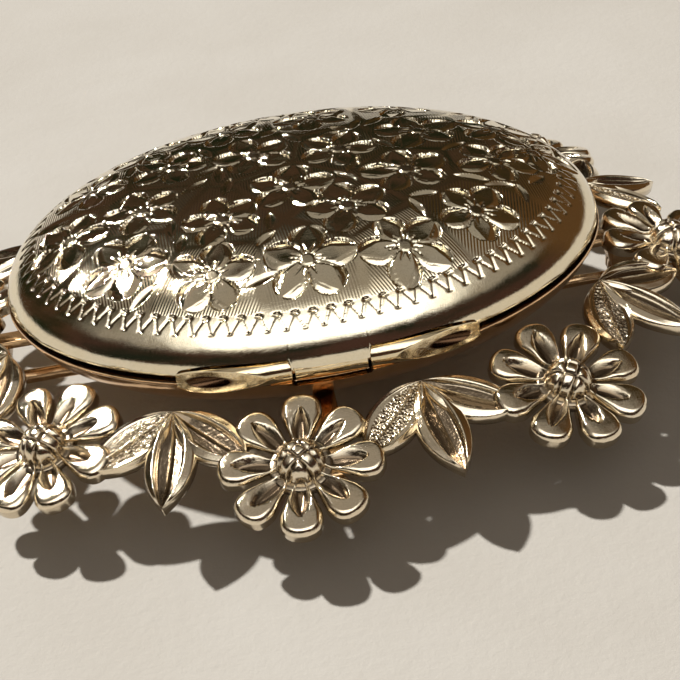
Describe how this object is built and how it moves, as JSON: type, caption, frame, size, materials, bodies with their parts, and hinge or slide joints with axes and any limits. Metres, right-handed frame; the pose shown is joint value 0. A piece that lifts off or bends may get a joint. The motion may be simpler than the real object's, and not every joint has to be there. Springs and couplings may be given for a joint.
{
  "type": "locket brooch",
  "caption": "Oval engraved gold locket, hinged on its long side, raised inside an openwork wreath of flowers and leaf sprays, with a brooch pin behind.",
  "frame": {"origin": "middle of the brooch in plan, at the height of its lowest point, the underside of the catch roller", "axes": "+X along the locket's length towards the catch, +Y across it away from the locket's hinge, +Z out through the front cover"},
  "size_m": [0.0472, 0.0402, 0.011],
  "materials": {
    "cover_gold": "polished yellow gold, hand engraved on the front cover",
    "back_gold": "polished rosy gold",
    "inner_gold": "plain polished rosy gold",
    "wreath_gold": "cast and chased pale gold, polished high spots, darker recesses",
    "fitting_gold": "drawn and filed rosy gold",
    "window": "clear thin plastic film",
    "picture_card": "blank cream card"
  },
  "bodies": {
    "case_back": {"back_cover": "back_gold", "closing_ring": "inner_gold", "back_bezel": "inner_gold", "back_frame": "inner_gold", "back_window": "window", "back_picture": "picture_card", "back_knuckle_left": "cover_gold", "back_knuckle_right": "cover_gold", "hinge_pin": "fitting_gold", "flower_1": "wreath_gold", "flower_2": "wreath_gold", "flower_3": "wreath_gold", "flower_4": "wreath_gold", "flower_5": "wreath_gold", "flower_6": "wreath_gold", "flower_7": "wreath_gold", "flower_8": "wreath_gold", "leaf_spray_1": "wreath_gold", "leaf_spray_2": "wreath_gold", "leaf_spray_3": "wreath_gold", "leaf_spray_4": "wreath_gold", "leaf_spray_5": "wreath_gold", "leaf_spray_6": "wreath_gold", "leaf_spray_7": "wreath_gold", "leaf_spray_8": "wreath_gold", "strut_hinge_side": "back_gold", "strut_far_side": "back_gold", "strut_left": "back_gold", "strut_right": "back_gold", "joint_bracket": "fitting_gold", "joint_rivet": "fitting_gold", "catch_shell": "fitting_gold"},
    "case_front": {"front_cover": "cover_gold", "front_bezel": "inner_gold", "front_frame": "inner_gold", "front_window": "window", "front_picture": "picture_card", "front_knuckle": "cover_gold", "thumb_lip": "cover_gold"},
    "brooch_pin": {"pin_stem": "fitting_gold"},
    "roller": {"catch_roller": "fitting_gold"}
  },
  "joints": [
    {"name": "cover_hinge", "type": "hinge", "parent": "case_back", "child": "case_front", "pos_m": [0, -0.0118, 0.00642], "axis": [1, 0, 0], "range_deg": [0, 90]},
    {"name": "pin_hinge", "type": "hinge", "parent": "case_back", "child": "brooch_pin", "pos_m": [-0.0182, 0, 0.001], "axis": [0, 1, 0], "range_deg": [0, 70]},
    {"name": "roller_turn", "type": "hinge", "parent": "case_back", "child": "roller", "pos_m": [0.0182, 0, 0.001], "axis": [1, 0, 0], "range_deg": [0, 115]}
  ]
}
